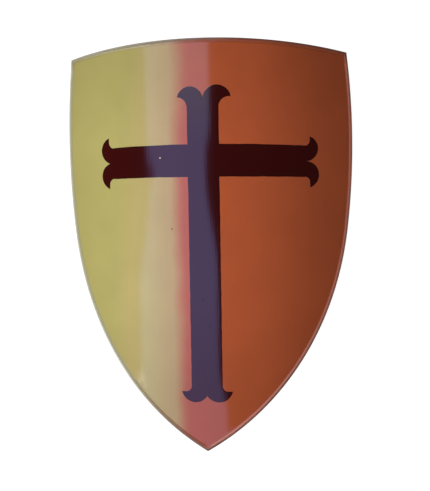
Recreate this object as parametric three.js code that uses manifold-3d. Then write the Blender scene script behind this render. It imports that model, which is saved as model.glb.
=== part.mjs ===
// A heater shield of sheet steel: one curved sheet with its edge rolled into a bead, and two leather straps
// behind it.
// Millimetres, +Z up. It lies on its two side edges with the painted face up and the point towards -Y.
import * as THREE from "three";
import Module from "manifold-3d";
import { mergeVertices } from "three/addons/utils/BufferGeometryUtils.js";

// Outline of the sheet, measured flat, along the curve
const shieldHeight = 710; // from the point to the middle of the top edge
const topArch = 26; // rise of the top edge over its two corners
const cornerHalfWidth = 251;
const sideBulge = 11; // how far each side swells out past its corner
const widestBelowCorners = 156;
const lowerArcBelowCorners = 302; // where the long lower arc of each side begins

// Sheet and edge
const faceRadius = 510; // the sheet is rolled about one upright axis
const sheetThickness = 1.5;
const beadDiameter = 7;
const beadRise = 1.8; // how far the bead stands over the painted face

// Straps and the loops that hold them
const leatherThickness = 3.5;
const loopWireDiameter = 5;
const loopSideClearance = 1.5; // from the strap's edge to the wire
const wireClearance = 0.4; // between the wire and the leather round it
const seatGap = 0.3; // left between pieces that touch
const strapsBelowCorners = 275; // the middle of both straps, level with the balance point
const lapLength = 38; // the doubled end of a strap
const forearmStrap = { name: "forearm_strap", offset: 100, width: 38, span: 190, bow: 36 };
const handGrip = { name: "hand_grip", offset: -120, width: 28, span: 140, bow: 31 };

// Fineness of the faceted surfaces
const sideSteps = 36;
const acrossSteps = 20;
const beadSteps = 10;
const strapSteps = 24;
const eyeSides = 28;
const wireSides = 8;
const wireSteps = 14;

// Finishes
const enamel = { color: "#a65430", roughness: 0.25, metalness: 0 };
const leather = { color: "#5b3822", roughness: 0.6, metalness: 0 };
const steel = { color: "#8d8f92", roughness: 0.4, metalness: 1 };

const wasm = await Module();
wasm.setup();

// A point of the flat sheet: u runs across along the curve, y runs up from the line through the two corners.
const point = (u, y) => new THREE.Vector2(u, y);

// The left side from the point up to the corner: a long lower arc that flows into a flatter upper one.
function leftSide() {
  const cornerToTip = shieldHeight - topArch;
  const upperRadius = (widestBelowCorners ** 2 + sideBulge ** 2) / (2 * sideBulge);
  const upperCentre = point(upperRadius - sideBulge - cornerHalfWidth, -widestBelowCorners);
  const drop = lowerArcBelowCorners - widestBelowCorners;
  const joint = point(upperCentre.x - Math.sqrt(upperRadius ** 2 - drop ** 2), -lowerArcBelowCorners);
  const tip = point(0, -cornerToTip);
  const inward = upperCentre.clone().sub(joint).normalize();
  const chord = tip.clone().sub(joint);
  const lowerRadius = chord.lengthSq() / (2 * chord.dot(inward));
  const lowerCentre = joint.clone().addScaledVector(inward, lowerRadius);
  const lower = arcBetween(lowerCentre, tip, joint);
  const upper = arcBetween(upperCentre, joint, point(-cornerHalfWidth, 0));
  const total = lower.length + upper.length;
  const points = [];
  for (let i = 0; i <= sideSteps; i++) {
    const along = (i / sideSteps) * total;
    points.push(along < lower.length ? lower.at(along) : upper.at(along - lower.length));
  }
  return points;
}

// An arc about a centre that turns clockwise from one point to another, read by the length along it.
function arcBetween(centre, from, to) {
  const radius = centre.distanceTo(from);
  const startAngle = Math.atan2(from.y - centre.y, from.x - centre.x);
  let turn = Math.atan2(to.y - centre.y, to.x - centre.x) - startAngle;
  if (turn > 0) turn -= 2 * Math.PI;
  const at = (length) => {
    const angle = startAngle + turn * (length / (radius * -turn));
    return point(centre.x + radius * Math.cos(angle), centre.y + radius * Math.sin(angle));
  };
  return { length: radius * -turn, at };
}

// The top edge from the left corner to the right one, one arc.
function topEdge() {
  const radius = (cornerHalfWidth ** 2 + topArch ** 2) / (2 * topArch);
  const halfAngle = Math.asin(cornerHalfWidth / radius);
  const points = [];
  for (let i = 0; i <= acrossSteps; i++) {
    const angle = halfAngle * ((2 * i) / acrossSteps - 1);
    points.push(point(radius * Math.sin(angle), topArch - radius * (1 - Math.cos(angle))));
  }
  return points;
}

// The whole outline, clockwise from the point: left side, top edge, right side.
function outline() {
  const left = leftSide();
  const top = topEdge();
  const right = left.map((p) => point(-p.x, p.y)).reverse();
  return [...left, ...top.slice(1), ...right.slice(1, -1)];
}

// At each outline point, the step that moves both of its sides inwards by one millimetre, so that corners
// stay mitred.
function mitredSteps(points) {
  return points.map((p, i) => {
    const before = points[(i + points.length - 1) % points.length];
    const after = points[(i + 1) % points.length];
    const a = p.clone().sub(before).normalize();
    const b = after.clone().sub(p).normalize();
    const normalA = point(a.y, -a.x);
    const normalB = point(b.y, -b.x);
    const sum = normalA.clone().add(normalB);
    return sum.multiplyScalar(2 / sum.lengthSq());
  });
}

// Rolls a flat point into place, at a height over the painted face. The roll's axis is the Y axis.
function rolled(flat, over) {
  const angle = flat.x / faceRadius;
  const radius = faceRadius + over;
  return new THREE.Vector3(radius * Math.sin(angle), flat.y, radius * Math.cos(angle));
}

// The bead's round section: how far in from the edge, and how far over the painted face, each point lies.
function beadSection() {
  const radius = beadDiameter / 2;
  const centreOver = beadRise - radius;
  const frontAngle = Math.PI - Math.asin(-centreOver / radius);
  const backAngle = -Math.PI - Math.asin((-sheetThickness - centreOver) / radius);
  const section = [];
  for (let k = 0; k <= beadSteps; k++) {
    const angle = frontAngle + ((backAngle - frontAngle) * k) / beadSteps;
    section.push({ inward: radius * (1 - Math.cos(angle)), over: centreOver + radius * Math.sin(angle) });
  }
  return section;
}

// Fills a loop of outline points with rows from the point to the top edge. Returns the flat points by row.
function fieldRows(loop) {
  const tip = loop[0];
  const rows = [[tip]];
  const topLeft = loop[sideSteps];
  const topRight = loop[sideSteps + acrossSteps];
  for (let j = 1; j <= sideSteps; j++) {
    const left = loop[j];
    const right = loop[2 * sideSteps + acrossSteps - j];
    const row = [];
    for (let i = 0; i <= acrossSteps; i++) {
      const share = i / acrossSteps;
      const rise = loop[sideSteps + i].clone().sub(topLeft.clone().lerp(topRight, share));
      row.push(left.clone().lerp(right, share).addScaledVector(rise, j / sideSteps));
    }
    rows.push(row);
  }
  return rows;
}

// The sheet and its bead as one closed skin: painted face, bead, hidden face.
function shellGeometry() {
  const edge = outline();
  const steps = mitredSteps(edge);
  const section = beadSection();
  const positions = [];
  const triangles = [];
  const add = (flat, over) => positions.push(rolled(flat, over)) - 1;
  const rings = section.map(({ inward, over }) =>
    edge.map((p, i) => {
      const flat = p.clone().addScaledVector(steps[i], inward);
      return { flat, index: add(flat, over) };
    }),
  );
  for (let k = 0; k < beadSteps; k++) {
    const outer = rings[k];
    const inner = rings[k + 1];
    edge.forEach((_, i) => {
      const next = (i + 1) % edge.length;
      quad(triangles, outer[i].index, outer[next].index, inner[next].index, inner[i].index);
    });
  }
  addField(triangles, rings[0], section[0].over, add, false);
  addField(triangles, rings[beadSteps], section[beadSteps].over, add, true);
  return indexedGeometry(positions, triangles);
}

// One face of the sheet inside a ring of the bead, facing out, or facing in where it is the hidden one.
function addField(triangles, ring, over, add, hidden) {
  const rows = fieldRows(ring.map((v) => v.flat));
  const index = rows.map((row, j) =>
    row.map((flat, i) => {
      if (j === 0) return ring[0].index;
      if (i === 0) return ring[j].index;
      if (i === acrossSteps) return ring[2 * sideSteps + acrossSteps - j].index;
      if (j === sideSteps) return ring[sideSteps + i].index;
      return add(flat, over);
    }),
  );
  const face = (a, b, c) => triangles.push(hidden ? [a, c, b] : [a, b, c]);
  for (let i = 0; i < acrossSteps; i++) {
    face(index[0][0], index[1][i + 1], index[1][i]);
    for (let j = 1; j < sideSteps; j++) {
      face(index[j][i], index[j][i + 1], index[j + 1][i + 1]);
      face(index[j][i], index[j + 1][i + 1], index[j + 1][i]);
    }
  }
}

function quad(triangles, a, b, c, d) {
  triangles.push([a, b, c], [a, c, d]);
}

function indexedGeometry(positions, triangles) {
  const geometry = new THREE.BufferGeometry();
  const numbers = positions.flatMap((p) => p.toArray());
  geometry.setAttribute("position", new THREE.Float32BufferAttribute(numbers, 3));
  geometry.setIndex(triangles.flat());
  geometry.computeVertexNormals();
  return geometry;
}

// A closed three.js shape as a solid that can be joined and cut.
function solidOf(geometry) {
  const bare = geometry.clone();
  bare.deleteAttribute("normal");
  bare.deleteAttribute("uv");
  const merged = mergeVertices(bare);
  const vertProperties = new Float32Array(merged.attributes.position.array);
  const triVerts = new Uint32Array(merged.index.array);
  return new wasm.Manifold(new wasm.Mesh({ numProp: 3, vertProperties, triVerts }));
}

function geometryOf(solid) {
  const { vertProperties, triVerts } = solid.getMesh();
  const geometry = new THREE.BufferGeometry();
  geometry.setAttribute("position", new THREE.BufferAttribute(vertProperties, 3));
  geometry.setIndex(new THREE.BufferAttribute(triVerts, 1));
  geometry.computeVertexNormals();
  return geometry;
}

// How far the hollow side of the sheet comes up at a distance beside the line that a strap runs along.
function hollowRise(beside) {
  const innerRadius = faceRadius - sheetThickness;
  return innerRadius - Math.sqrt(innerRadius ** 2 - beside ** 2);
}

// How deep behind the sheet the wire of a strap's loops lies, so that the leather passes between them.
function wireDepth(strap) {
  const leatherRound = loopWireDiameter / 2 + wireClearance + leatherThickness;
  return hollowRise(strap.width / 2) + seatGap + leatherRound;
}

// The line of a strap's leather in its own upright plane: along the strap, and deep behind the sheet.
function strapLine(strap) {
  const points = [];
  for (let i = 0; i <= strapSteps; i++) {
    const share = (2 * i) / strapSteps - 1;
    points.push(point((share * strap.span) / 2, wireDepth(strap) + strap.bow * (1 - share ** 2)));
  }
  return points;
}

// A band of leather on both sides of a line, or on one side where it starts off the line.
function bandShape(line, from, to) {
  const sideways = line.map((p, i) => {
    const along = line[Math.min(i + 1, line.length - 1)].clone().sub(line[Math.max(i - 1, 0)]).normalize();
    return point(-along.y, along.x);
  });
  const far = line.map((p, i) => p.clone().addScaledVector(sideways[i], to));
  const near = line.map((p, i) => p.clone().addScaledVector(sideways[i], from));
  return new THREE.Shape([...near, ...far.reverse()]);
}

function discShape(centre, radius) {
  const shape = new THREE.Shape();
  shape.absarc(centre.x, centre.y, radius, 0, 2 * Math.PI);
  return shape;
}

function extruded(shape, depth) {
  const options = { depth, bevelEnabled: false, curveSegments: eyeSides / 2 };
  return solidOf(new THREE.ExtrudeGeometry(shape, options).translate(0, 0, -depth / 2));
}

// A leather strap: a bowed band, doubled at its ends, with an eye at each end round the wire of its loop.
function strapGeometry(strap) {
  const line = strapLine(strap);
  const half = leatherThickness / 2;
  const lap = line.filter((p) => p.x < lapLength - strap.span / 2);
  const mirrored = (points) => points.map((p) => point(-p.x, p.y)).reverse();
  let solid = extruded(bandShape(line, -half, half), strap.width);
  for (const doubled of [lap, mirrored(lap)]) {
    solid = solid.add(extruded(bandShape(doubled, -half - leatherThickness, 0), strap.width));
  }
  const eyeInside = loopWireDiameter / 2 + wireClearance;
  for (const end of [line[0], line[strapSteps]]) {
    solid = solid.add(extruded(discShape(end, eyeInside + leatherThickness), strap.width));
  }
  for (const end of [line[0], line[strapSteps]]) {
    solid = solid.subtract(extruded(discShape(end, eyeInside), strap.width + 2 * leatherThickness));
  }
  return geometryOf(solid);
}

// A loop of bent wire: two legs that stand on the sheet, and a bar between them for the strap's eye.
function loopGeometry(strap) {
  const legBeside = strap.width / 2 + loopSideClearance + loopWireDiameter / 2;
  const legFoot = hollowRise(legBeside + loopWireDiameter / 2) + seatGap;
  const depth = wireDepth(strap);
  const wire = discShape(point(0, 0), loopWireDiameter / 2);
  const bend = loopWireDiameter;
  const route = new THREE.CurvePath();
  const at = (beside, deep) => new THREE.Vector3(beside, deep, 0);
  const footLeft = at(-legBeside, legFoot);
  const footRight = at(legBeside, legFoot);
  const bendsLeft = [at(-legBeside, depth - bend), at(-legBeside, depth), at(bend - legBeside, depth)];
  const bendsRight = [at(legBeside - bend, depth), at(legBeside, depth), at(legBeside, depth - bend)];
  route.add(new THREE.LineCurve3(footLeft, bendsLeft[0]));
  route.add(new THREE.QuadraticBezierCurve3(...bendsLeft));
  route.add(new THREE.LineCurve3(bendsLeft[2], bendsRight[0]));
  route.add(new THREE.QuadraticBezierCurve3(...bendsRight));
  route.add(new THREE.LineCurve3(bendsRight[2], footRight));
  const options = { steps: wireSteps, extrudePath: route, curveSegments: wireSides / 2 };
  return new THREE.ExtrudeGeometry(wire, options);
}

// The leaning of the shield when it lies on its side edges: the slope of the edge facets under its weight.
function restAngle(geometry) {
  const spots = new Map();
  const corner = new THREE.Vector3();
  const position = geometry.attributes.position;
  for (let i = 0; i < position.count; i++) {
    corner.fromBufferAttribute(position, i);
    const key = corner.y.toFixed(3);
    const known = spots.get(key);
    if (!known || known.y > corner.z) spots.set(key, point(corner.y, corner.z));
  }
  const lowest = [];
  for (const spot of [...spots.values()].sort((a, b) => a.x - b.x)) {
    while (lowest.length > 1) {
      const [a, b] = lowest.slice(-2);
      if ((b.x - a.x) * (spot.y - a.y) - (b.y - a.y) * (spot.x - a.x) > 0) break;
      lowest.pop();
    }
    lowest.push(spot);
  }
  const weight = centreOfWeight(geometry);
  for (let i = 1; i < lowest.length; i++) {
    const facet = lowest[i].clone().sub(lowest[i - 1]);
    const along = facet.clone().normalize();
    const reach = point(weight.y, weight.z).sub(lowest[i - 1]).dot(along);
    if (reach >= 0 && reach <= facet.length()) return Math.atan2(facet.y, facet.x);
  }
  return 0;
}

function centreOfWeight(geometry) {
  const sum = new THREE.Vector3();
  const position = geometry.attributes.position;
  const index = geometry.index.array;
  const corner = (i) => new THREE.Vector3().fromBufferAttribute(position, index[i]);
  let volume = 0;
  for (let i = 0; i < index.length; i += 3) {
    const [a, b, c] = [corner(i), corner(i + 1), corner(i + 2)];
    const part = a.dot(b.clone().cross(c)) / 6;
    volume += part;
    sum.addScaledVector(a.add(b).add(c), part / 4);
  }
  return sum.divideScalar(volume);
}

function namedMesh(name, geometry, finish) {
  const mesh = new THREE.Mesh(geometry, new THREE.MeshStandardMaterial(finish));
  mesh.name = name;
  return mesh;
}

// A strap with its two loops, set on the hollow side of the sheet.
function strapGroup(strap, firstLoop) {
  const group = new THREE.Group();
  const band = namedMesh(strap.name, strapGeometry(strap), leather);
  band.rotation.set(0, -Math.PI / 2, Math.PI / 2, "YXZ");
  group.add(band);
  [-1, 1].forEach((end, i) => {
    const loop = namedMesh(`strap_loop_${firstLoop + i}`, loopGeometry(strap), steel);
    loop.rotation.x = -Math.PI / 2;
    loop.position.y = (end * strap.span) / 2;
    group.add(loop);
  });
  const turned = new THREE.Group();
  group.position.set(0, -strapsBelowCorners, faceRadius - sheetThickness);
  turned.rotation.y = strap.offset / faceRadius;
  turned.add(group);
  return turned;
}

const shell = namedMesh("shield_shell", shellGeometry(), enamel);
const shield = new THREE.Group();
shield.add(shell, strapGroup(forearmStrap, 1), strapGroup(handGrip, 3));
shield.rotation.x = -restAngle(shell.geometry);

// The origin is under the middle of the shield, on what it lies on.
const placed = new THREE.Group();
placed.add(shield);
placed.updateMatrixWorld(true);
const bounds = new THREE.Box3().setFromObject(shield, true);
const middle = bounds.getCenter(new THREE.Vector3());
shield.position.set(-middle.x, -middle.y, -bounds.min.z);

export default placed;
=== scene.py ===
import math
from functools import partial

import bpy
import numpy as np
from mathutils import Matrix, Vector


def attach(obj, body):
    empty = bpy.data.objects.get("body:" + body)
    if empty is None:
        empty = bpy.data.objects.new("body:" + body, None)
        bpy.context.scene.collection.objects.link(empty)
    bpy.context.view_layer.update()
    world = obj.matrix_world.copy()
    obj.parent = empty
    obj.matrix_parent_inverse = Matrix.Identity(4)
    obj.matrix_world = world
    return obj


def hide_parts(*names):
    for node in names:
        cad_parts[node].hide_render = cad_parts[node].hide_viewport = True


bl_info = {
    "name": "Heater Shield",
    "version": (1, 0, 0),
    "blender": (4, 5, 0),
    "location": "3D View > Sidebar > Shield",
    "description": "Builds an enamelled heater shield with its straps around its packed model",
    "category": "Add Mesh",
}

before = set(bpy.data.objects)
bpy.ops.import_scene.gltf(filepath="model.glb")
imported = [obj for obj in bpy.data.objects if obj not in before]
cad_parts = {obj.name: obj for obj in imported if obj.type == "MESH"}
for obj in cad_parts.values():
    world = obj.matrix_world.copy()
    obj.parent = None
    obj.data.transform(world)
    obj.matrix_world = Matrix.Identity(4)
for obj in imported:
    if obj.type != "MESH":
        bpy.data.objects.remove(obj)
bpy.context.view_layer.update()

MM = 0.001
# The sheet leans this much when it lies on its side edges, and this is where the axis that it is rolled about
# passes under the line through its two upper corners.
LEAN = 0.048520887606989735
ROLL_AXIS = Vector((0.0, 353.24439, -430.18908)) * MM
STRAPS_BELOW_CORNERS = 275 * MM
PHOTO_HEIGHT_PIXELS = 491
# Edges that bend more than this stay sharp or are rounded over.
SHARP = math.radians(50)
# Settings that many nodes share
SMOOTH = {"interpolation_type": "SMOOTHSTEP"}
RGBA = {"data_type": "RGBA"}


def linear(code):
    """An sRGB hex colour as the linear numbers that shaders take."""
    channels = [int(code[i : i + 2], 16) / 255 for i in (1, 3, 5)]
    return [c / 12.92 if c <= 0.04045 else ((c + 0.055) / 1.055) ** 2.4 for c in channels]


def length(name, description, default):
    """A length whose default is given in millimetres."""
    return bpy.props.FloatProperty(
        name=name, description=description, default=default * MM, unit="LENGTH", precision=4
    )


def degrees(name, description, default):
    """An angle whose default is given in degrees."""
    return bpy.props.FloatProperty(
        name=name, description=description, default=math.radians(default), subtype="ANGLE"
    )


def number(name, description, default):
    return bpy.props.FloatProperty(name=name, description=description, default=default)


def colour(name, description, code):
    """A colour whose default is given as sRGB hex."""
    return bpy.props.FloatVectorProperty(
        name=name, description=description, default=linear(code), subtype="COLOR", size=3, min=0, max=1
    )


def lying():
    """Turns the rolled sheet's own frame into the way that it lies."""
    return Matrix.Translation(ROLL_AXIS) @ Matrix.Rotation(LEAN, 4, "X")


class SheetSizes(bpy.types.PropertyGroup):
    corner_to_point: length("Corner to point", "From the line through the upper corners to the point", 684)
    top_arch: length("Top arch", "Rise of the top edge over its two corners", 26)
    corner_half_width: length("Corner half width", "Half the sheet's flat width at its corners", 251)
    side_bulge: length("Side bulge", "How far each side swells out past its corner", 11)
    widest_below: length("Widest below", "From the corners down to the widest place", 156)
    lower_arc_below: length("Lower arc below", "From the corners down to where the lower arc begins", 302)
    face_radius: length("Face radius", "Radius that the sheet is rolled to", 510)
    thickness: length("Thickness", "Thickness of the sheet", 1.5)
    bead_diameter: length("Bead diameter", "Thickness of the rolled edge", 7)
    bead_rise: length("Bead rise", "How far the rolled edge stands over the painted face", 1.8)
    crease_radius: length("Crease radius", "How roundly paint fills the crease beside the rolled edge", 4)
    outline_step: length("Outline step", "Length of one step along the edge", 13)
    face_step: length("Face step", "Width of one step across the face", 6)


class CrossSizes(bpy.types.PropertyGroup):
    arm_half_width: length("Arm half width", "Half the width of the upright arm", 27)
    bar_half_width: length("Bar half width", "Half the width of the bar at its middle", 27.6)
    bar_below: length("Bar below", "From the corners down to the middle of the bar", 178.7)
    bar_bow: length("Bar bow", "How far the bar's ends droop", 4.3)
    bar_taper: length("Bar taper", "How much less the bar's half width is at its ends", 1.1)
    upright_top: length("Upright top", "From the corners down to the upright arm's upper notch", 75.9)
    upright_foot: length("Upright foot", "From the corners down to the upright arm's lower notch", 585.3)
    bar_left: length("Bar left", "From the middle line to the bar's left notch", 171.4)
    bar_right: length("Bar right", "From the middle line to the bar's right notch", 178)
    edge_softness: length("Edge softness", "Width over which the brushed edge fades", 0.5)
    edge_line: length("Edge line", "Width of the darker line that the outline was drawn with", 3.2)


# The two curls at each of the four arm ends, in millimetres: which way the arm points across and up, where
# the disc that a curl is drawn with is, beside the arm's middle and along it, its radius, how much that grows
# per millimetre towards the right or the top, how far along the curl's tip is, and how round the hollow
# behind it.
CURLS = {
    "top": dict(points=(0, 1), disc=(23.0, -76.5), radius=23.0, grows=0.05, tip=-72.1, hollow=18.0),
    "foot": dict(points=(0, -1), disc=(20.8, 572.4), radius=24.2, grows=0.0, tip=577.7, hollow=10.0),
    "right": dict(points=(1, 0), disc=(21.9, 176.0), radius=21.9, grows=-0.035, tip=182.8, hollow=10.0),
    "left": dict(points=(-1, 0), disc=(22.1, 164.3), radius=23.2, grows=0.0, tip=172.4, hollow=11.0),
}


class PaintColours(bpy.types.PropertyGroup):
    yellow: colour("Yellow", "Left side of the field", "#b5ab64")
    straw: colour("Straw", "Where the yellow has warmed, left of the middle", "#c2b06d")
    orange_red: colour("Orange-red", "Right side of the field", "#c05d34")
    maroon: colour("Maroon", "The cross", "#390a08")
    outline: colour("Outline", "Darker line that the cross was drawn with", "#260a06")
    # Painted highlight in grey on the rolled edge at the left, and painted shade on it at the right, the top
    # and the point.
    rim_highlight_grey: colour("Rim grey", "Rolled edge rubbed bare at the left", "#bab798")
    rim_shade: colour("Rim dark", "Rolled edge darkened at the right, the top and the point", "#46291f")
    # Painted shade in the crease beside the rolled edge.
    crease_shade: colour("Dirt", "Dirt in the crease beside the rolled edge", "#3a2a1c")
    # Painted highlight line on the inner flank of the rolled edge.
    rim_highlight_line: colour("Rim line", "Thin paint on the inner flank of the rolled edge", "#a66a52")
    inside: colour("Inside", "Hidden side of the sheet", "#2c1512")
    leather: colour("Leather", "The straps", "#6a4228")
    thread: colour("Thread", "Waxed stitching", "#c8b48a")
    steel: colour("Steel", "The strap loops", "#8d8f92")


class StrapSizes(bpy.types.PropertyGroup):
    leather_thickness: length("Leather thickness", "Thickness of the straps", 3.5)
    wire_diameter: length("Wire diameter", "Thickness of the loops' wire", 5)
    wire_clearance: length("Wire clearance", "Between the wire and the leather round it", 0.4)
    side_clearance: length("Side clearance", "From the strap's edge to the wire", 1.5)
    seat_gap: length("Seat gap", "Left between pieces that touch", 0.3)
    lap_length: length("Lap length", "Doubled end of a strap", 38)
    stitch_pitch: length("Stitch pitch", "From one stitch to the next", 5)
    stitch_length: length("Stitch length", "Length of one stitch", 3.6)
    thread_diameter: length("Thread diameter", "Thickness of the thread", 1.1)


# What tells the two straps apart: where each is across the sheet, how wide and long, and how far it bows out.
STRAPS = {
    "forearm_strap": dict(offset=100 * MM, width=38 * MM, span=190 * MM, bow=36 * MM, loops=(1, 2)),
    "hand_grip": dict(offset=-120 * MM, width=28 * MM, span=140 * MM, bow=31 * MM, loops=(3, 4)),
}


def start_mesh(add, name, **settings):
    """Adds a primitive with nothing else selected, bakes in its place, and leaves it in edit mode."""
    bpy.ops.object.select_all(action="DESELECT")
    add(**settings)
    piece = bpy.context.object
    piece.name = name
    piece.data.name = name
    bpy.ops.object.transform_apply(location=True, rotation=True, scale=True)
    bpy.ops.object.mode_set(mode="EDIT")
    bpy.ops.mesh.select_all(action="SELECT")
    return piece


def select_in_edit(piece, kind, wanted):
    """Selects the vertices or faces that pass a test, by their place or normal."""
    bpy.ops.mesh.select_all(action="DESELECT")
    bpy.ops.mesh.select_mode(type=kind)
    bpy.ops.object.mode_set(mode="OBJECT")
    for thing in piece.data.vertices if kind == "VERT" else piece.data.polygons:
        thing.select = wanted(thing)
    bpy.ops.object.mode_set(mode="EDIT")


def apply_modifier(piece, name, kind, **settings):
    modifier = piece.modifiers.new(name, kind)
    for key, value in settings.items():
        setattr(modifier, key, value)
    bpy.context.view_layer.objects.active = piece
    bpy.ops.object.modifier_apply(modifier=name)


def select_only(piece):
    bpy.ops.object.select_all(action="DESELECT")
    piece.select_set(True)
    bpy.context.view_layer.objects.active = piece


def set_in_place(piece, matrix):
    """Moves a piece, and bakes the move into its mesh."""
    select_only(piece)
    piece.matrix_world = matrix
    bpy.ops.object.transform_apply(location=True, rotation=True, scale=True)


def join(pieces):
    bpy.ops.object.select_all(action="DESELECT")
    for piece in pieces:
        piece.select_set(True)
    bpy.context.view_layer.objects.active = pieces[0]
    bpy.ops.object.join()


def copied(piece, name):
    """A copy with its own mesh."""
    select_only(piece)
    bpy.ops.object.duplicate(linked=False)
    copy = bpy.context.object
    copy.name = name
    copy.data.name = name
    return copy


def add_node(tree, kind, *values, named=None, give=None, **settings):
    """Adds a node such as "Math ADD", its operation after its kind, and sets it up. The values go to the
    inputs in use, in order, then the named ones by name. Gives its first output in use, or one by name."""
    kind, *operation = kind.split()
    node = tree.nodes.new("ShaderNode" + kind)
    if operation:
        node.operation = operation[0]
    for key, value in settings.items():
        setattr(node, key, value)
    named = named or {}
    sockets = [socket for socket in node.inputs if socket.enabled][: len(values)]
    for socket, value in zip([*sockets, *map(node.inputs.get, named)], [*values, *named.values()]):
        if isinstance(value, bpy.types.NodeSocket):
            tree.links.new(value, socket)
        else:
            socket.default_value = value
    return node.outputs[give] if give else next((socket for socket in node.outputs if socket.enabled), node)


def new_material(name):
    material = bpy.data.materials.new(name)
    material.use_nodes = True
    material.node_tree.nodes.clear()
    return material, partial(add_node, material.node_tree)


def opaque(rgb):
    return (*rgb[:3], 1.0)


def flat_place(add):
    """The place on the flat sheet or strap, in millimetres, and how far across and how far up it is."""
    place = add("VectorMath MULTIPLY", add("UVMap", uv_map="flat"), (1000, 1000, 1000))
    return place, add("SeparateXYZ", place, give="X"), add("SeparateXYZ", place, give="Y")


def outside_box(add, place, middle, half):
    """How far outside a rectangle a place is, less than nothing inside it."""
    away = add("VectorMath ABSOLUTE", add("VectorMath SUBTRACT", place, middle))
    away = add("VectorMath SUBTRACT", away, half)
    return add("Math MAXIMUM", add("SeparateXYZ", away, give="X"), add("SeparateXYZ", away, give="Y"))


def outside_disc(add, place, middle, radius):
    return add("Math SUBTRACT", add("VectorMath DISTANCE", place, middle), radius)


def outside_curl(add, place, curl, half, radius):
    """How far outside a painted curl a place is: a disc, less the round hollow behind the curl's tip."""
    reach = curl["hollow"]
    corner = (reach + half, reach - curl["tip"], 0)
    into = add("VectorMath MAXIMUM", add("VectorMath MULTIPLY_ADD", place, (-1, 1, 0), corner), (0, 0, 0))
    hollow = add("Math SUBTRACT", reach, add("VectorMath LENGTH", into))
    return add("Math MAXIMUM", outside_disc(add, place, (*curl["disc"], 0), radius), hollow)


def outside_cross(add, place, sizes):
    """How far outside the painted cross a place is, in millimetres, less than nothing on it."""
    half, bar_half = sizes.arm_half_width / MM, sizes.bar_half_width / MM
    top, foot = -sizes.upright_top / MM, -sizes.upright_foot / MM
    left, right = -sizes.bar_left / MM, sizes.bar_right / MM
    across = add("SeparateXYZ", place, give="X")
    up = add("SeparateXYZ", place, give="Y")
    # The upright arm stands a little right of the middle line. The hollows behind the curls begin a little
    # inside the arms, and further inside the bar, whose sides slope.
    aside, into_arm, into_bar = 0.4, 0.2, 0.8
    upright = outside_box(add, place, (aside, (top + foot) / 2, 0), (half, (top - foot) / 2, 0))
    # The bar droops and narrows a little towards its ends.
    share = add("Math POWER", add("Math DIVIDE", across, left), 2)
    level = add("VectorMath ADD", place, (0, sizes.bar_below / MM, 0))
    level = add("VectorMath MULTIPLY_ADD", share, (0, sizes.bar_bow / MM, 0), level)
    wider = add("VectorMath MULTIPLY_ADD", share, (0, sizes.bar_taper / sizes.bar_half_width, 0), (1, 1, 1))
    straight = add("VectorMath MULTIPLY", level, wider)
    bar = outside_box(add, straight, ((left + right) / 2, 0, 0), ((right - left) / 2, bar_half, 0))
    body = add("Math MINIMUM", upright, bar)
    from_upright = add("Math SUBTRACT", across, aside)
    from_bar = add("Math ADD", up, (sizes.bar_below + sizes.bar_bow) / MM)
    for curl in CURLS.values():
        right, upward = curl["points"]
        along = add("Math MULTIPLY", up if upward else across, right + upward)
        beside = from_upright if upward else from_bar
        radius = add("Math MULTIPLY_ADD", beside, curl["grows"], curl["radius"])
        spot = add("CombineXYZ", add("Math ABSOLUTE", beside), along)
        inner = half - into_arm if upward else bar_half - sizes.bar_taper / MM - into_bar
        body = add("Math MINIMUM", body, outside_curl(add, spot, curl, inner, radius))
    # The hand that painted it wavered by a fraction of a millimetre.
    return add("Math ADD", body, add("Math MULTIPLY_ADD", add("TexNoise", place, 0.035), 1.6, -0.8))


def sprayed_field(add, place, across, up, colours):
    """The yellow warms slowly from the left, then turns to orange-red over some 45 mm, slightly aslant.
    Sprayed colour is a little cloudy, over some 60 mm, and painted shade darkens it near the sides, the top
    and the point."""
    from_border = add("Math ADD", across, add("Math MULTIPLY_ADD", up, 0.018, 55.0))
    from_border = add("Math ADD", from_border, add("MapRange", up, -120, -20, 0, -2))
    from_border = add("Math ADD", from_border, add("MapRange", up, -470, -620, 0, 5))
    cloudy = add("Math MULTIPLY_ADD", add("TexNoise", place, 0.02, 3.0), 14, -7)
    reach = add("MapRange", up, -140, -40, 20, 34)
    side = add("MapRange", add("Math ADD", from_border, cloudy), -21, reach, **SMOOTH)
    warm = add("MapRange", from_border, -60, -5, 0.0, 0.22, **SMOOTH)
    side = add("Math MAXIMUM", side, warm)
    # Lower down the yellow warms further to the left.
    warmed = add("Math MULTIPLY_ADD", up, -0.08, across)
    warmed = add("MapRange", warmed, -144, -92, **SMOOTH)
    yellow = add("Mix", warmed, opaque(colours.yellow), opaque(colours.straw), **RGBA)
    field = add("Mix", side, yellow, opaque(colours.orange_red), **RGBA)
    cloud = add("MapRange", add("TexNoise", place, 0.016, 3.0), 0.3, 0.7, 0.94, 1.0)
    # Painted shade: the paint is darker towards both sides, the top and the point, where the light falls off.
    to_side = add("Math ABSOLUTE", add("Math ADD", across, 40))
    shade = add("MapRange", to_side, 110, 260, 1.0, 0.78, **SMOOTH)
    to_end = add("Math ABSOLUTE", add("Math ADD", up, 290))
    ends = add("MapRange", to_end, 120, 310, 1.0, 0.85, **SMOOTH)
    shade = add("Math MULTIPLY", add("Math MULTIPLY", cloud, shade), ends)
    return add("Mix", 1.0, field, shade, **RGBA, blend_type="MULTIPLY")


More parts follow.
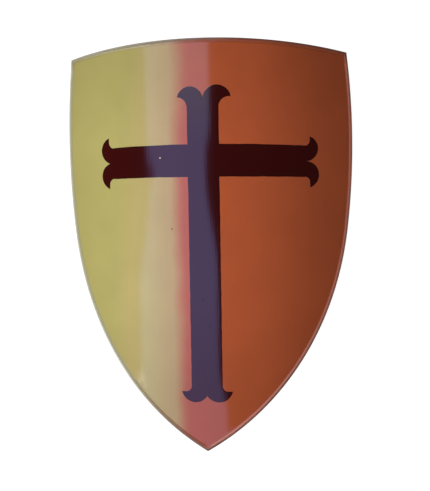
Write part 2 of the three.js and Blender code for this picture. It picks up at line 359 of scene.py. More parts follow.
def rim_wear_and_painted_light(add, paint, from_edge, place, across, up, colours):
    """The rolled edge, ragged as if worn, with painted light. Its outer flank is a painted highlight in grey
    at the left and painted shade elsewhere. Its inner flank is painted lighter at the left, with a painted
    highlight line at the right and towards the point, and painted shade along the top."""
    wander = add("Math MULTIPLY_ADD", add("TexNoise", place, 0.06, 4.0), 2.4, -1.2)
    ragged = add("Math ADD", from_edge, wander)
    # Where the rolled edge gets painted shade: the right, the point and the top.
    right = add("MapRange", across, -60, 60)
    low = add("MapRange", up, -540, -650)
    below_top = add("MapRange", up, -4, -20)
    at_top = add("MapRange", below_top, 1, 0, 0, add("MapRange", across, -200, -30, 0.5, 0.8))
    dark = add("Math MAXIMUM", add("Math MAXIMUM", right, low), at_top)
    # The inner flank: a painted highlight line at the right and towards the point, painted shade along the
    # top.
    inner = add("Mix", below_top, opaque(colours.rim_shade), opaque(colours.rim_highlight_line), **RGBA)
    inner_flank_light_and_shade = add("MapRange", below_top, 0, 1, 0.6, 0)
    inner_flank_light_and_shade = add("Math MAXIMUM", add("Math MULTIPLY", dark, below_top), inner_flank_light_and_shade)
    inner_flank_light_and_shade = add("Math MULTIPLY", inner_flank_light_and_shade, add("MapRange", ragged, 8.4, 6.0, 0.0, 0.55))
    paint = add("Mix", inner_flank_light_and_shade, paint, inner, **RGBA)
    # Painted light: the inner flank is paler at the left, against the shade in the crease.
    pale = add("MapRange", dark, 0.6, 0, 0, 1)
    pale = add("Math MULTIPLY", add("MapRange", ragged, 9.5, 3.5, 0.0, 0.7), pale)
    paint = add("Mix", pale, paint, opaque(colours.rim_highlight_grey), **RGBA)
    # The outer flank: a painted highlight in grey at the left, and painted shade at the right, the top and
    # the point, fading in with a ragged edge.
    outer = add("Mix", dark, opaque(colours.rim_highlight_grey), opaque(colours.rim_shade), **RGBA)
    rubbed = add("Math ADD", ragged, add("MapRange", right, 0, 1, -2.0, 0))
    rubbed = add("MapRange", rubbed, 3.2, 1.6, 0.0, 0.85)
    paint = add("Mix", rubbed, paint, outer, **RGBA)
    # Painted shade in the crease beside the rolled edge.
    crease = add("MapRange", from_edge, 9.0, 8.0, 0, 0.12)
    crease = add("Math MULTIPLY", add("MapRange", from_edge, 6.2, 7.2), crease)
    return add("Mix", crease, paint, opaque(colours.crease_shade), **RGBA)


# Chips and specks in the paint: how far across and up each is, its radius in millimetres and its colour.
SPECKS = (
    (-75.3, -173.8, 1.1, "#e9dfc8"),
    (-68.4, -173.5, 1.0, "#1c0605"),
    (-4.3, -417.4, 1.1, "#1a0504"),
    (7.1, -464.3, 1.1, "#1a0504"),
    (-56.4, -295.2, 1.3, "#4a2a18"),
)


def painted_enamel():
    """Gloss enamel brushed and sprayed on sheet steel: a hard, wet-looking coat that mirrors the lamps, with
    faint orange peel, and a darker line just inside the brushed cross, where its outline was drawn."""
    material, add = new_material("gloss_enamel_on_sheet_steel")
    colours = bpy.context.scene.shield_colours
    sizes = bpy.context.scene.shield_cross
    place, across, up = flat_place(add)
    outside = outside_cross(add, place, sizes)
    soft = sizes.edge_softness / MM
    on_cross = add("MapRange", outside, soft, -soft, **SMOOTH)
    paint = sprayed_field(add, place, across, up, colours)
    paint = add("Mix", on_cross, paint, opaque(colours.maroon), **RGBA)
    line = add("Math MULTIPLY", add("MapRange", outside, -sizes.edge_line / MM, -1.2, 0.0, 0.6), on_cross)
    paint = add("Mix", line, paint, opaque(colours.outline), **RGBA)
    from_edge = add("Attribute", attribute_name="from_edge", give="Fac")
    paint = rim_wear_and_painted_light(add, paint, from_edge, place, across, up, colours)
    dull = add("MapRange", from_edge, 7.0, 5.5, 0.0, 0.7)
    for x, y, radius, code in SPECKS:
        speck = add("MapRange", outside_disc(add, place, (x, y, 0), radius), 0.5, -0.5)
        paint = add("Mix", speck, paint, opaque(linear(code)), **RGBA)
        dull = add("Math MAXIMUM", dull, speck)
    roughness = add("MapRange", dull, 0.0, 1.0, 0.09, 0.55)
    # Orange peel, about 3 mm from crest to crest, the step at the brushed paint's edge, and brush streaks
    peel = add("Math MULTIPLY", add("TexNoise", place, 0.3, 1.0), 0.012)
    step = add("MapRange", outside, 1.2, -1.2, 0.0, 0.05, **SMOOTH)
    long_way = add("VectorMath MULTIPLY", place, (1, 0.06, 1))
    streaks = add("Math MULTIPLY", add("TexNoise", long_way, 0.35), add("Math MULTIPLY", on_cross, 0.03))
    height = add("Math ADD", add("Math ADD", peel, step), streaks)
    normal = add("Bump", 1.0, MM, named={"Height": height})
    look = {"Base Color": paint, "Roughness": roughness, "IOR": 1.5, "Normal": normal}
    add("OutputMaterial", add("BsdfPrincipled", named=look))
    return material


def inside_enamel():
    """Stoving enamel rolled on the hidden side: a dull dark coat, with the low waves of the roller in it."""
    material, add = new_material("satin_enamel_inside")
    place = flat_place(add)[0]
    base = opaque(bpy.context.scene.shield_colours.inside)
    cloud = add("MapRange", add("TexNoise", place, 0.03, 4.0), 0.3, 0.75)
    paint = add("Mix", cloud, base, opaque([1.45 * c for c in base]), **RGBA)
    height = add("Math MULTIPLY", add("TexNoise", place, 0.5), 0.05)
    normal = add("Bump", 1.0, MM, named={"Height": height})
    look = {"Base Color": paint, "Roughness": 0.42, "IOR": 1.5, "Normal": normal}
    add("OutputMaterial", add("BsdfPrincipled", named=look))
    return material


def bead_side(sizes, face_height, fillet, steps):
    """The bead's round section from its outermost point to the face, as distances in from the edge and up."""
    radius = sizes.bead_diameter / 2
    rise = face_height + fillet
    reach = math.sqrt((radius + fillet) ** 2 - rise**2)
    lean = math.atan2(rise, reach)
    points = []
    for k in range(steps + 1):
        angle = (math.pi - lean) * k / steps
        points.append((radius * (1 - math.cos(angle)), radius * math.sin(angle)))
    fillet_steps = 3
    for k in range(1, fillet_steps + 1):
        angle = math.pi + lean + (math.pi / 2 - lean) * k / fillet_steps
        points.append((radius + reach + fillet * math.cos(angle), rise + fillet * math.sin(angle)))
    return points


def spin_arc(centre, start, end, steps):
    """Spins the selected vertex along an arc that turns clockwise."""
    begin = math.atan2(start.y - centre.y, start.x - centre.x)
    turn = (begin - math.atan2(end.y - centre.y, end.x - centre.x)) % (2 * math.pi)
    bpy.ops.mesh.spin(steps=steps, angle=turn, center=centre.to_3d(), axis=(0, 0, 1))


def half_outline(sizes):
    """Draws the left half of the edge: a long lower arc, a flatter upper one, and half of the top arc."""
    step = sizes.outline_step
    tip = Vector((0, -sizes.corner_to_point))
    corner = Vector((-sizes.corner_half_width, 0))
    bulge = sizes.side_bulge
    upper_radius = (sizes.widest_below**2 + bulge**2) / (2 * bulge)
    upper_centre = Vector((upper_radius - bulge - sizes.corner_half_width, -sizes.widest_below))
    drop = sizes.lower_arc_below - sizes.widest_below
    joint = Vector((upper_centre.x - math.sqrt(upper_radius**2 - drop**2), -sizes.lower_arc_below))
    inward = (upper_centre - joint).normalized()
    chord = tip - joint
    lower_centre = joint + inward * (chord.length_squared / (2 * chord.dot(inward)))
    top_radius = (sizes.corner_half_width**2 + sizes.top_arch**2) / (2 * sizes.top_arch)
    top = Vector((0, sizes.top_arch))
    top_centre = Vector((0, sizes.top_arch - top_radius))
    spin_arc(lower_centre, tip, joint, round(chord.length / step))
    spin_arc(upper_centre, joint, corner, round((joint - corner).length / step))
    spin_arc(top_centre, corner, top, round(sizes.corner_half_width / step))


def inset_along(points):
    """Insets the selected face ring by ring along a section."""
    for (inward, height), (next_inward, next_height) in zip(points, points[1:]):
        bpy.ops.mesh.inset(
            thickness=next_inward - inward,
            depth=next_height - height,
            use_boundary=True,
            use_even_offset=True,
        )


def cut_face_into_steps(sizes):
    """Cuts the two large faces into narrow steps, so that they can bend, with only them shown."""
    bpy.ops.mesh.hide(unselected=True)
    reach = sizes.corner_half_width + sizes.side_bulge
    for axis, low, high, step in (
        ((1, 0, 0), -reach, reach, sizes.face_step),
        ((0, 1, 0), -sizes.corner_to_point, sizes.top_arch, 2 * sizes.face_step),
    ):
        for k in range(math.ceil(low / step), math.floor(high / step) + 1):
            bpy.ops.mesh.select_all(action="SELECT")
            bpy.ops.mesh.bisect(plane_co=[k * step * a for a in axis], plane_no=axis)
    bpy.ops.mesh.reveal()


def keep_edge_distance(sheet, edge):
    """Notes on each corner of the flat sheet its distance from the outline, in millimetres, for the rolled
    edge's wear and painted light.
    """
    spots = np.array([v.co.xy for v in sheet.data.vertices])
    nearest = np.full(len(spots), np.inf)
    for here, there in edge:
        run = there - here
        share = np.clip(((spots - here) @ run) / (run @ run), 0, 1)
        nearest = np.minimum(nearest, np.linalg.norm(spots - here - share[:, None] * run, axis=1))
    layer = sheet.data.attributes.new("from_edge", "FLOAT", "POINT")
    layer.data.foreach_set("value", (nearest / MM).astype(np.float32))


class SHIELD_OT_sheet(bpy.types.Operator):
    """Builds the rolled and enamelled sheet with its edge bead"""

    bl_idname = "shield.sheet"
    bl_label = "Sheet"

    def execute(self, context):
        sizes = context.scene.shield_sheet
        level = sizes.bead_rise - sizes.bead_diameter / 2
        tip = (0, -sizes.corner_to_point, level)
        sheet = start_mesh(bpy.ops.mesh.primitive_plane_add, "enamelled_sheet", size=MM, location=tip)
        bpy.ops.mesh.merge(type="CENTER")
        half_outline(sizes)
        bpy.ops.object.mode_set(mode="OBJECT")
        apply_modifier(sheet, "other_half", "MIRROR", use_mirror_merge=True, merge_threshold=0.01 * MM)
        corners = [np.array(v.co.xy) for v in sheet.data.vertices]
        edge = [(corners[a], corners[b]) for a, b in (e.vertices for e in sheet.data.edges)]
        sheet.data.materials.append(painted_enamel())
        sheet.data.materials.append(inside_enamel())
        bpy.ops.object.mode_set(mode="EDIT")
        bpy.ops.mesh.select_all(action="SELECT")
        bpy.ops.mesh.edge_face_add()
        bpy.ops.mesh.select_mode(type="FACE")
        bpy.ops.object.mode_set(mode="OBJECT")
        if sheet.data.polygons[0].normal.z < 0:
            bpy.ops.object.mode_set(mode="EDIT")
            bpy.ops.mesh.flip_normals()
            bpy.ops.object.mode_set(mode="OBJECT")
        bpy.ops.object.mode_set(mode="EDIT")
        bpy.ops.mesh.select_all(action="SELECT")
        inset_along(bead_side(sizes, -level, sizes.crease_radius, steps=12))
        # The back closes the same edge.
        bpy.ops.mesh.select_all(action="DESELECT")
        bpy.ops.mesh.select_mode(type="EDGE")
        bpy.ops.mesh.select_non_manifold(
            use_wire=False,
            use_boundary=True,
            use_multi_face=False,
            use_non_contiguous=False,
            use_verts=False,
        )
        bpy.ops.mesh.edge_face_add()
        bpy.ops.mesh.select_all(action="SELECT")
        bpy.ops.mesh.normals_make_consistent(inside=False)
        broad = 0.1
        select_in_edit(sheet, "FACE", lambda face: face.area > broad and face.normal.z < -0.9)
        back = bead_side(sizes, level + sizes.thickness, fillet=1.0 * MM, steps=14)
        # The outer enamel ends at this step round the bead, and the inner one begins.
        seam = 6
        inset_along(back[: seam + 1])
        sheet.active_material_index = 1
        bpy.ops.object.material_slot_assign()
        inset_along(back[seam:])
        select_in_edit(sheet, "FACE", lambda face: face.area > broad)
        cut_face_into_steps(sizes)
        bpy.ops.object.mode_set(mode="OBJECT")
        flat = sheet.data.uv_layers.new(name="flat")
        for loop in sheet.data.loops:
            corner = sheet.data.vertices[loop.vertex_index].co
            flat.data[loop.index].uv = (corner.x, corner.y)
        keep_edge_distance(sheet, edge)
        # The bend turns the sheet's width about its upright axis, so the sheet stands up for it first.
        set_in_place(sheet, Matrix.Rotation(math.pi / 2, 4, "X"))
        bend = 2 * (sizes.corner_half_width + sizes.side_bulge) / sizes.face_radius
        apply_modifier(sheet, "roll", "SIMPLE_DEFORM", deform_method="BEND", deform_axis="Z", angle=bend)
        down_again = Matrix.Rotation(-math.pi / 2, 4, "X")
        set_in_place(sheet, lying() @ Matrix.Translation((0, 0, sizes.face_radius)) @ down_again)
        bpy.ops.object.shade_smooth_by_angle(angle=math.radians(35))
        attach(sheet, "root")
        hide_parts("shield_shell")
        return {"FINISHED"}


def strap_seat(sheet_sizes, offset):
    """Where a strap's own frame lies: X across it, Y along it, and Z back up to the sheet's hollow side."""
    turned = Matrix.Rotation(offset / sheet_sizes.face_radius, 4, "Y")
    inner = sheet_sizes.face_radius - sheet_sizes.thickness
    return lying() @ turned @ Matrix.Translation((0, -STRAPS_BELOW_CORNERS, inner))


def hollow_rise(sheet_sizes, beside):
    """How far the hollow side of the sheet comes up at a distance beside a strap's middle."""
    inner = sheet_sizes.face_radius - sheet_sizes.thickness
    return inner - math.sqrt(inner**2 - beside**2)


def wire_depth(sheet_sizes, sizes, strap):
    round_wire = sizes.wire_diameter / 2 + sizes.wire_clearance + sizes.leather_thickness
    return hollow_rise(sheet_sizes, strap["width"] / 2) + sizes.seat_gap + round_wire


def smooth(share):
    share = min(max(share, 0), 1)
    return share * share * (3 - 2 * share)


def strap_point(sizes, strap, depth, end, away, side):
    """A point of the leather's middle layer, by its distance from the wire at one end of the strap. Side 1 is
    the strap itself and side -1 its doubled end. Gives the point, and the ways along the strap and out of its
    face."""
    half = strap["span"] / 2
    share = (half - away) / half
    slope = 2 * strap["bow"] * share / half
    along = Vector((0, -end, -slope)).normalized()
    outward = Vector((0, end * slope, -1)).normalized()
    middle = Vector((0, end * (half - away), -(depth + strap["bow"] * (1 - share**2))))
    round_wire = sizes.wire_diameter / 2 + sizes.wire_clearance + sizes.leather_thickness / 2
    between_layers, settles_over = 0.1 * MM, 16 * MM
    settled = 0 if side > 0 else sizes.leather_thickness + between_layers
    gap = settled + (round_wire - settled) * (1 - smooth(away / settles_over))
    return middle + outward * (side * gap), along, outward * side


def strap_path(sizes, strap, depth):
    """The leather's middle layer from one doubled end, round its wire, along, and back the same way."""
    step = 2.5 * MM
    lap = [k * step for k in range(int(sizes.lap_length / step), -1, -1)]
    whole = int(strap["span"] / 2 / step)
    points = [strap_point(sizes, strap, depth, -1, away, -1)[0] for away in lap]
    points += round_the_wire(sizes, strap, depth, -1)
    points += [strap_point(sizes, strap, depth, -1, k * step, 1)[0] for k in range(whole)]
    other = [strap_point(sizes, strap, depth, 1, k * step, 1)[0] for k in range(whole)]
    points += other[::-1]
    points += round_the_wire(sizes, strap, depth, 1)
    points += [strap_point(sizes, strap, depth, 1, away, -1)[0] for away in lap[::-1]]
    return points


def round_the_wire(sizes, strap, depth, end):
    first, along, _ = strap_point(sizes, strap, depth, end, 0, -1 if end < 0 else 1)
    last = strap_point(sizes, strap, depth, end, 0, 1 if end < 0 else -1)[0]
    centre = (first + last) / 2
    arm = first - centre
    steps = 10
    return [
        centre + arm * math.cos(math.pi * k / steps) - along * (arm.length * math.sin(math.pi * k / steps))
        for k in range(1, steps)
    ]


def leather_band(name, width, points):
    """Extrudes one edge of a plane along a strap's path, its ends a little narrower."""
    band = start_mesh(bpy.ops.mesh.primitive_plane_add, name, size=width, location=(0, 0, 0))
    select_in_edit(band, "VERT", lambda corner: corner.co.y > 0)
    bpy.ops.mesh.delete(type="VERT")
    bpy.ops.mesh.select_all(action="SELECT")
    bpy.ops.mesh.subdivide(number_cuts=3)
    bpy.ops.mesh.select_mode(type="EDGE")
    bpy.ops.mesh.select_all(action="SELECT")
    bpy.ops.transform.translate(value=points[0] + Vector((0, width / 2, 0)))
    tapers = {0: 0.76, 1: 0.93, 2: 1.0}
    bpy.ops.transform.resize(value=(tapers[0], 1, 1), center_override=points[0])
    last = len(points) - 1
    previous = tapers[0]
    for k, (here, there) in enumerate(zip(points, points[1:]), start=1):
        bpy.ops.mesh.extrude_region_move(TRANSFORM_OT_translate={"value": there - here})
        share = tapers.get(min(k, last - k), 1.0)
        if share != previous:
            bpy.ops.transform.resize(value=(share / previous, 1, 1), center_override=there)
        previous = share
    bpy.ops.object.mode_set(mode="OBJECT")
    return band


def lay_out(band, points):
    """Keeps how far along the strap and across it each corner is, for the leather's grain and creases."""
    reach = [0.0]
    for here, there in zip(points, points[1:]):
        reach.append(reach[-1] + (there - here).length)
    places = []
    for vertex in band.data.vertices:
        nearest = min(range(len(points)), key=lambda k: (points[k] - Vector((0, *vertex.co.yz))).length)
        places.append((vertex.co.x, reach[nearest]))
    layer = band.data.uv_layers.new(name="flat")
    for loop in band.data.loops:
        layer.data[loop.index].uv = places[loop.vertex_index]


def stitch_places(sizes, strap, depth):
    """Where the stitches lie at both doubled ends, on both faces, and the way that each runs and faces."""
    pitch = sizes.stitch_pitch
    inset, first_row = 4 * MM, 10 * MM
    edge = strap["width"] / 2 - inset
    rows = int((sizes.lap_length - first_row - inset) / pitch) + 1
    rows = [first_row + k * pitch for k in range(rows)]
    half = sizes.leather_thickness / 2
    for end in (-1, 1):
        for side in (-1, 1):
            for away in rows:
                spot, along, outward = strap_point(sizes, strap, depth, end, away, side)
                for x in (-edge, edge):
                    yield spot + outward * half + Vector((x, 0, 0)), along, outward
            spot, _, outward = strap_point(sizes, strap, depth, end, rows[-1] + pitch / 2, side)
            count = int(2 * edge / pitch)
            for k in range(count):
                x = (k - (count - 1) / 2) * 2 * edge / count
                yield spot + outward * half + Vector((x, 0, 0)), Vector((1, 0, 0)), outward


def one_stitch(sizes):
    """A stitch of thick thread whose ends dip into the leather."""
    stitch = start_mesh(
        bpy.ops.mesh.primitive_uv_sphere_add,
        "stitch",
        segments=8,
        ring_count=8,
        radius=sizes.thread_diameter / 2,
    )
    reach = sizes.stitch_length / sizes.thread_diameter
    bpy.ops.transform.resize(value=(1, reach, 1), center_override=(0, 0, 0))
    ends = 0.3 * sizes.stitch_length
    select_in_edit(stitch, "VERT", lambda corner: abs(corner.co.y) > ends)
    bpy.ops.transform.translate(value=(0, 0, -0.35 * sizes.thread_diameter))
    bpy.ops.object.mode_set(mode="OBJECT")
    bpy.ops.object.shade_smooth()
    return stitch


def stitched(sizes, strap, depth, thread):
    first = one_stitch(sizes)
    first.data.materials.append(thread)
    stitches = []
    for spot, along, outward in stitch_places(sizes, strap, depth):
        stitch = copied(first, "stitch_copy")
        turned = Matrix((outward.cross(along) * -1, along, outward)).transposed()
        stitch.data.transform(Matrix.Translation(spot) @ turned.to_4x4())
        stitches.append(stitch)
    bpy.data.objects.remove(first)
    return stitches


def tanned_leather():
    """Vegetable-tanned harness leather, waxed and handled: a close pebbled grain, dark burnished edges and a
    creased line that runs along inside each edge."""
    material, add = new_material("waxed_harness_leather")
    place, across, _ = flat_place(add)
    base = opaque(bpy.context.scene.shield_colours.leather)
    handled = add("MapRange", add("TexNoise", place, 0.06, 4.0), 0.35, 0.7, **SMOOTH)
    body = add("Mix", handled, opaque([0.78 * c for c in base]), base, **RGBA)
    from_edge = add("Attribute", attribute_name="half_width", give="Fac")
    from_edge = add("Math SUBTRACT", from_edge, add("Math ABSOLUTE", across))
    crease = add("Math MULTIPLY", add("MapRange", from_edge, 1.9, 2.3), add("MapRange", from_edge, 2.9, 2.5))
    shade = add("Math MAXIMUM", add("MapRange", from_edge, 1.6, 0.0), crease)
    paint = add("Mix", shade, body, opaque([0.38 * c for c in base]), **RGBA)
    # Pores and pebbles are about 0.8 mm across, drawn here at 1.2 mm so that they show.
    pebbles = add("Math MULTIPLY", add("TexVoronoi", place, 0.8), 0.12)
    height = add("Math MULTIPLY_ADD", crease, -0.35, pebbles)
    normal = add("Bump", 0.8, MM, named={"Height": height})
    roughness = add("MapRange", add("TexNoise", place, 0.2, 3.0), 0.2, 0.8, 0.42, 0.6)
    look = {"Base Color": paint, "Roughness": roughness, "IOR": 1.5, "Normal": normal}
    add("OutputMaterial", add("BsdfPrincipled", named=look))
    return material


def waxed_thread():
    """Twisted linen thread drawn through wax: pale, with the twist of its plies."""
    material, add = new_material("waxed_linen_thread")
    base = opaque(bpy.context.scene.shield_colours.thread)
    place = add("TexCoord", give="Object")
    plies = add("TexWave", place, 600.0, bands_direction="DIAGONAL", give="Fac")
    paint = add("Mix", plies, base, opaque([0.6 * c for c in base]), **RGBA)
    look = {"Base Color": paint, "Roughness": 0.6}
    add("OutputMaterial", add("BsdfPrincipled", named=look))
    return material


class SHIELD_OT_straps(bpy.types.Operator):
    """Builds the forearm strap and the hand grip, doubled and stitched round their loops"""

    bl_idname = "shield.straps"
    bl_label = "Straps"

    def execute(self, context):
        sheet_sizes = context.scene.shield_sheet
        sizes = context.scene.shield_straps
        leather, thread = tanned_leather(), waxed_thread()
        for name, strap in STRAPS.items():
            depth = wire_depth(sheet_sizes, sizes, strap)
            points = strap_path(sizes, strap, depth)
            band = leather_band(f"stitched_{name}", strap["width"], points)
            band.data.materials.append(leather)
            lay_out(band, points)
            width = band.data.attributes.new("half_width", "FLOAT", "POINT")
            for value in width.data:
                value.value = strap["width"] / 2 / MM
            thick = {"thickness": sizes.leather_thickness, "offset": 0.0, "use_even_offset": True}
            apply_modifier(band, "thickness", "SOLIDIFY", **thick)
            rounded = {"width": 0.8 * MM, "segments": 2, "limit_method": "ANGLE", "angle_limit": SHARP}
            apply_modifier(band, "edges", "BEVEL", **rounded)
            select_only(band)
            bpy.ops.object.shade_smooth_by_angle(angle=SHARP)
            join([band, *stitched(sizes, strap, depth, thread)])
            set_in_place(band, strap_seat(sheet_sizes, strap["offset"]))
            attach(band, "root")
            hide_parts(name)
        return {"FINISHED"}


def bright_wire():
    """Drawn steel wire, bent and welded: a dull grey bloom of fine scale over bright metal."""
    material, add = new_material("drawn_steel_wire")
    base = opaque(bpy.context.scene.shield_colours.steel)
    place = add("TexCoord", give="Object")
    bloom = add("TexNoise", place, 160.0, 4.0)
    paint = add("Mix", bloom, opaque([0.55 * c for c in base]), base, **RGBA)
    roughness = add("MapRange", bloom, 0.3, 0.7, 0.3, 0.5)
    normal = add("Bump", 0.3, 0.1 * MM, named={"Height": bloom})
    look = {"Base Color": paint, "Metallic": 1.0, "Roughness": roughness, "Normal": normal}
    add("OutputMaterial", add("BsdfPrincipled", named=look))
    return material


def wire_loop(sheet_sizes, sizes, strap, name, steel):
    """Bends one loop: up a leg, round a bend, across, round the other bend and down, welded at each foot."""
    leg = strap["width"] / 2 + sizes.side_clearance + sizes.wire_diameter / 2
    foot = hollow_rise(sheet_sizes, leg)
    depth = wire_depth(sheet_sizes, sizes, strap)
    bend = sizes.wire_diameter
    rise = Vector((0, 0, depth - bend - foot))
    loop = start_mesh(
        bpy.ops.mesh.primitive_circle_add,
        name,
        vertices=16,
        radius=sizes.wire_diameter / 2,
        fill_type="NOTHING",
        location=(-leg, 0, -foot),
    )
    bpy.ops.mesh.extrude_region_move(TRANSFORM_OT_translate={"value": -rise})
    for side in (-1, 1):
        centre = (side * (leg - bend), 0, bend - depth)
        bpy.ops.mesh.spin(steps=7, angle=math.pi / 2, center=centre, axis=(0, 1, 0))
        onward = Vector((2 * (leg - bend), 0, 0)) if side < 0 else rise
        bpy.ops.mesh.extrude_region_move(TRANSFORM_OT_translate={"value": onward})
    bpy.ops.mesh.select_all(action="SELECT")
    bpy.ops.mesh.fill_holes(sides=0)
    bpy.ops.mesh.select_all(action="SELECT")
    bpy.ops.mesh.normals_make_consistent(inside=False)
    bpy.ops.object.mode_set(mode="OBJECT")
    parts = [loop]
    for k, side in enumerate((-1, 1)):
        weld = start_mesh(
            bpy.ops.mesh.primitive_torus_add,
            "weld",
            major_radius=0.56 * sizes.wire_diameter,
            minor_radius=0.2 * sizes.wire_diameter,
            major_segments=28,
            minor_segments=10,
            location=(side * leg, 0, -foot),
        )
        bpy.ops.transform.vertex_random(offset=0.18 * MM, seed=3 + k)
        bpy.ops.mesh.vertices_smooth(factor=0.4, repeat=1)
        bpy.ops.object.mode_set(mode="OBJECT")
        parts.append(weld)
    join(parts)
    loop.data.materials.clear()
    loop.data.materials.append(steel)
    bpy.ops.object.shade_smooth_by_angle(angle=SHARP)
    return loop


class SHIELD_OT_loops(bpy.types.Operator):
    """Builds the four wire loops welded to the hidden side"""

    bl_idname = "shield.loops"
    bl_label = "Strap loops"

    def execute(self, context):
        sheet_sizes = context.scene.shield_sheet
        sizes = context.scene.shield_straps
        steel = bright_wire()
        for strap in STRAPS.values():
            first = wire_loop(sheet_sizes, sizes, strap, f"welded_loop_{strap['loops'][0]}", steel)
            second = copied(first, f"welded_loop_{strap['loops'][1]}")
            for loop, number, end in zip((first, second), strap["loops"], (-1, 1)):
                along = Matrix.Translation((0, end * strap["span"] / 2, 0))
                set_in_place(loop, strap_seat(sheet_sizes, strap["offset"]) @ along)
                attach(loop, "root")
                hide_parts(f"strap_loop_{number}")
        return {"FINISHED"}


class StageSettings(bpy.types.PropertyGroup):
    key_power: number("Key power", "Watts of each soft key lamp", 129.5)
    panel_power: number("Panel power", "Watts of the cool panel", 37.0)
    floor_glow: number("Floor glow", "How brightly the table is lit", 0.97)
    yaw: degrees("Yaw", "Camera to the shield's right", 7.797)
    pitch: degrees("Pitch", "Camera towards the top edge", -5.757)
    roll: degrees("Roll", "Camera turned about its view", 0.917)
    distance: length("Distance", "From the camera to the painted face", 1707.5)
    slide_across: length("Slide across", "Camera slid across its view", -17.57)
    slide_up: length("Slide up", "Camera slid up its view", -18.46)
    view_pixels: number("View pixels", "Focal length in pixels", 1000.0)


def pale_table():
    """Matt white acrylic, lit from below: an even pale floor with faint shadows."""
    material, add = new_material("lit_white_acrylic")
    matt = add("BsdfDiffuse", (0.2, 0.2, 0.2, 1))
    lit = add("Emission", (1, 1, 1, 1), bpy.context.scene.shield_stage.floor_glow)
    add("OutputMaterial", add("AddShader", matt, lit))
    return material


def add_lamp(name, size, spot, power, rgb, faces_down=False):
    """Hangs a soft rectangular lamp, which faces the shield or straight down."""
    data = bpy.data.lights.new(name, "AREA")
    data.shape = "RECTANGLE"
    data.size, data.size_y = size
    data.energy = power
    data.color = rgb
    lamp = bpy.data.objects.new(name, data)
    bpy.context.scene.collection.objects.link(lamp)
    lamp.location = spot
    if not faces_down:
        lamp.rotation_euler = (-Vector(spot)).to_track_quat("-Z", "Y").to_euler()
    return lamp


def shade_panel(lamp):
    """Masks the lamp to the uneven panel that the gloss mirrors, in metres. Its left edge is soft, steps in
    for a short way at the height of the bar, and runs out to the left lower down. Its right edge is sharper
    and runs out to the right towards both ends. Its foot fades, and its head is brighter and yellower."""
    lamp.use_nodes = True
    lamp.node_tree.nodes.clear()
    add = partial(add_node, lamp.node_tree)
    place = add("NewGeometry", give="Position")
    across, up = add("SeparateXYZ", place, give="X"), add("SeparateXYZ", place, give="Y")
    left = add("MapRange", up, -0.16, -0.60, -1.53, -1.86, **SMOOTH)
    notch = add("Math ABSOLUTE", add("Math ADD", up, 0.05))
    left = add("Math ADD", left, add("MapRange", notch, 0.05, 0.03, 0.0, 0.17))
    right = add("MapRange", up, 0.14, 0.05, -0.19, -0.275, **SMOOTH)
    low = add("MapRange", up, -0.05, -0.42, 0.0, 0.19, **SMOOTH)
    right = add("Math ADD", right, add("Math ADD", low, add("MapRange", up, -0.82, -0.96, 0.0, 0.14)))
    soft, sharper = 0.09, 0.04
    inside = add("MapRange", add("Math SUBTRACT", across, left), -soft, soft, **SMOOTH)
    cut = add("MapRange", add("Math SUBTRACT", right, across), -sharper, sharper, **SMOOTH)
    foot = add("MapRange", up, -0.50, -0.95, 1.0, 0.75)
    glow = add("Math MULTIPLY", add("Math MULTIPLY", inside, cut), foot)
    head = add("MapRange", up, 0.10, 0.35)
    tint = add("Mix", head, (1, 1, 1, 1), (1.35, 1.35, 0.93, 1), **RGBA)
    add("OutputLight", add("Emission", tint, glow))


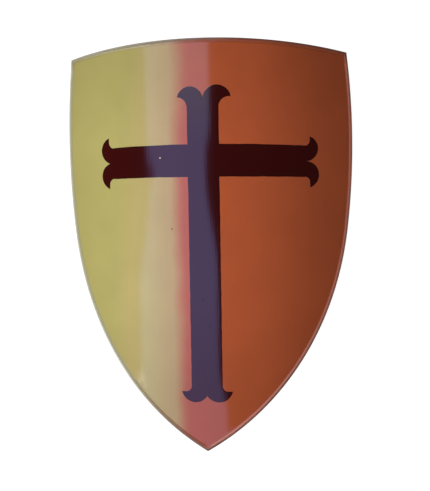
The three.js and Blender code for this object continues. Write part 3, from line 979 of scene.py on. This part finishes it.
class SHIELD_OT_stage(bpy.types.Operator):
    """Sets the pale table, the soft lights and the camera"""

    bl_idname = "shield.stage"
    bl_label = "Stage"

    def execute(self, context):
        scene = context.scene
        settings = scene.shield_stage
        floor = start_mesh(bpy.ops.mesh.primitive_plane_add, "floor", size=60, location=(0, 0, -0.2 * MM))
        bpy.ops.object.mode_set(mode="OBJECT")
        floor.data.materials.append(pale_table())
        # Two warm lamps at the left light the face evenly, from where its gloss doesn't mirror them.
        warm, cool = (1.0, 0.97, 0.92), (0.38, 0.46, 1.0)
        for name, along in (("front_key", -2.9), ("back_key", 2.7)):
            add_lamp(name, (2.8, 2.8), (-2.4, along, 2.4), settings.key_power, warm)
        size, spot = (2.4, 2.0), (-0.9, -0.2, 2.2)
        panel = add_lamp("tall_panel", size, spot, settings.panel_power, cool, faces_down=True)
        shade_panel(panel.data)
        world = bpy.data.worlds.new("studio")
        scene.world = world
        world.use_nodes = True
        world.node_tree.nodes.clear()
        add = partial(add_node, world.node_tree)
        # Pale low walls and a dark ceiling, so that only the lamps show in the gloss
        height = add("SeparateXYZ", add("TexCoord", give="Generated"), give="Z")
        walls = add("MapRange", height, 0.10, 0.28, 0.8, 0.03)
        add("OutputWorld", add("Background", (1, 1, 1, 1), walls))
        data = bpy.data.cameras.new("camera")
        camera = bpy.data.objects.new("camera", data)
        scene.collection.objects.link(camera)
        sheet_sizes = scene.shield_sheet
        middle = Matrix.Translation((0, -sheet_sizes.corner_to_point / 2, sheet_sizes.face_radius))
        turned = (
            Matrix.Rotation(settings.roll, 4, "Z")
            @ Matrix.Rotation(-settings.pitch, 4, "X")
            @ Matrix.Rotation(-settings.yaw, 4, "Y")
        )
        away = Matrix.Translation((settings.slide_across, settings.slide_up, -settings.distance))
        camera.matrix_world = lying() @ middle @ (away @ turned).inverted()
        data.lens = data.sensor_width * settings.view_pixels / PHOTO_HEIGHT_PIXELS
        data.clip_start, data.clip_end = 0.05, 200
        scene.camera = camera
        scene.view_settings.view_transform = "Standard"
        return {"FINISHED"}


class SHIELD_PT_panel(bpy.types.Panel):
    """Lists the shield's pieces in the sidebar"""

    bl_idname = "SHIELD_PT_panel"
    bl_label = "Heater Shield"
    bl_space_type = "VIEW_3D"
    bl_region_type = "UI"
    bl_category = "Shield"

    def draw(self, context):
        layout = self.layout
        for operator in ("shield.sheet", "shield.straps", "shield.loops", "shield.stage"):
            layout.operator(operator)
        for group in ("shield_sheet", "shield_cross", "shield_colours", "shield_straps", "shield_stage"):
            settings = getattr(context.scene, group)
            box = layout.box()
            for name in settings.__annotations__:
                box.prop(settings, name)


GROUPS = {
    "shield_sheet": SheetSizes,
    "shield_cross": CrossSizes,
    "shield_colours": PaintColours,
    "shield_straps": StrapSizes,
    "shield_stage": StageSettings,
}
OPERATORS = (SHIELD_OT_sheet, SHIELD_OT_straps, SHIELD_OT_loops, SHIELD_OT_stage)
CLASSES = (*GROUPS.values(), *OPERATORS, SHIELD_PT_panel)


def register():
    for cls in CLASSES:
        bpy.utils.register_class(cls)
    for name, group in GROUPS.items():
        setattr(bpy.types.Scene, name, bpy.props.PointerProperty(type=group))


def unregister():
    for name in GROUPS:
        delattr(bpy.types.Scene, name)
    for cls in reversed(CLASSES):
        bpy.utils.unregister_class(cls)


def main():
    register()
    bpy.ops.shield.sheet()
    bpy.ops.shield.straps()
    bpy.ops.shield.loops()
    bpy.ops.shield.stage()


if __name__ == "__main__":
    main()
